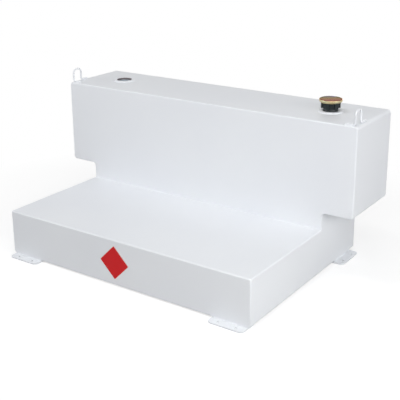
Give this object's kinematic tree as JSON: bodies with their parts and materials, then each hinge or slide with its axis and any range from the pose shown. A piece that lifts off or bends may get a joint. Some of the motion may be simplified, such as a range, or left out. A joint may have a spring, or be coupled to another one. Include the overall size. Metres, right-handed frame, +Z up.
{
  "type": "truck bed transfer tank",
  "caption": "Welded sheet-steel liquid transfer tank for a truck bed: T-shaped front, L-shaped side, open pump port, vented fill cap, lifting eyes and bolt-down feet.",
  "frame": {"origin": "centre of the bounding box at the underside of the feet", "axes": "+X across the truck to the right as seen from the deck side, -Y towards the low deck's front face, +Z up"},
  "size_m": [1.435, 0.888, 0.693],
  "materials": {
    "powder_coat": "glossy white powder coat",
    "bare_steel": "uncoated mill finish",
    "black_plastic": "moulded black",
    "seal_rubber": "smooth",
    "yellow_zinc": "yellow zinc plating with a shifting tint",
    "bright_steel": "bright zinc plating",
    "red_film": "printed vinyl film"
  },
  "bodies": {
    "tank": {"upper_front_panel": "powder_coat", "upper_wrap": "powder_coat", "rear_panel": "powder_coat", "deck_front_sheet": "powder_coat", "tub_wrap": "powder_coat", "baffle_left": "bare_steel", "baffle_right": "bare_steel", "pump_bung": "powder_coat", "fill_bung": "powder_coat", "fill_neck": "black_plastic", "lifting_eye_left": "powder_coat", "lifting_eye_right": "powder_coat", "foot_front_left": "powder_coat", "foot_front_right": "powder_coat", "foot_rear_left": "powder_coat", "foot_rear_right": "powder_coat", "decal": "red_film"},
    "cap_seal": {"cap_gasket": "seal_rubber"},
    "cap": {"cap_body": "black_plastic", "cap_cover": "yellow_zinc", "vent_spring": "bright_steel"},
    "vent": {"vent_valve": "bright_steel"}
  },
  "joints": [
    {"name": "cap_rise", "type": "slide", "parent": "tank", "child": "cap_seal", "axis": [0, 0, 1], "range_m": [0, 0.008]},
    {"name": "cap_turn", "type": "hinge", "parent": "cap_seal", "child": "cap", "pos_m": [0.527, 0.286, 0.66], "axis": [0, 0, 1], "range_deg": [0, 720]},
    {"name": "vent_lift", "type": "slide", "parent": "cap", "child": "vent", "axis": [0, 0, 1], "range_m": [0, 0.0015], "stiffness_N_per_m": 300, "springref_m": -0.003, "deforming": ["vent_spring"]}
  ],
  "couplings": [
    {"joint": "cap_rise", "follows": "cap_turn", "m_per_rad": 0.0006366}
  ]
}
